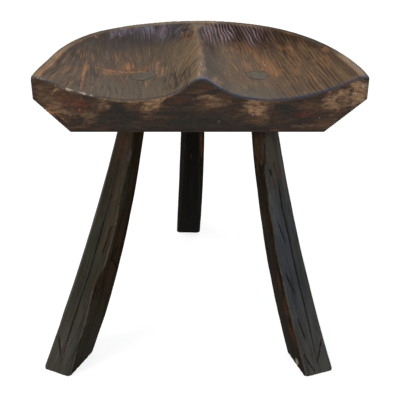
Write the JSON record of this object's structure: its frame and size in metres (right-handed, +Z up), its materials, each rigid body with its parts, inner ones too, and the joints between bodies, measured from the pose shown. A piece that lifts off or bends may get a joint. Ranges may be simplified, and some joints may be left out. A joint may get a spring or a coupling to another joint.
{
  "type": "three-legged dished stool",
  "caption": "Rustic hewn wooden stool: a thick D-shaped seat with dished hollows parted by a ridge, on splayed, bowed legs tenoned into it.",
  "frame": {"origin": "on the floor, under the middle of the stool's overall box", "axes": "+Z up, the seat's straight front edge faces -Y, +X to the right seen from the front"},
  "size_m": [0.4474, 0.457, 0.44],
  "materials": {
    "seat_wood": "waxed dark brown wood, gouge-cut hollows, worn edges",
    "leg_wood": "dark stained hewn wood with drying checks"
  },
  "bodies": {
    "root": {"seat": "seat_wood", "leg_front_left": "leg_wood", "leg_front_right": "leg_wood", "leg_rear": "leg_wood"}
  },
  "joints": []
}
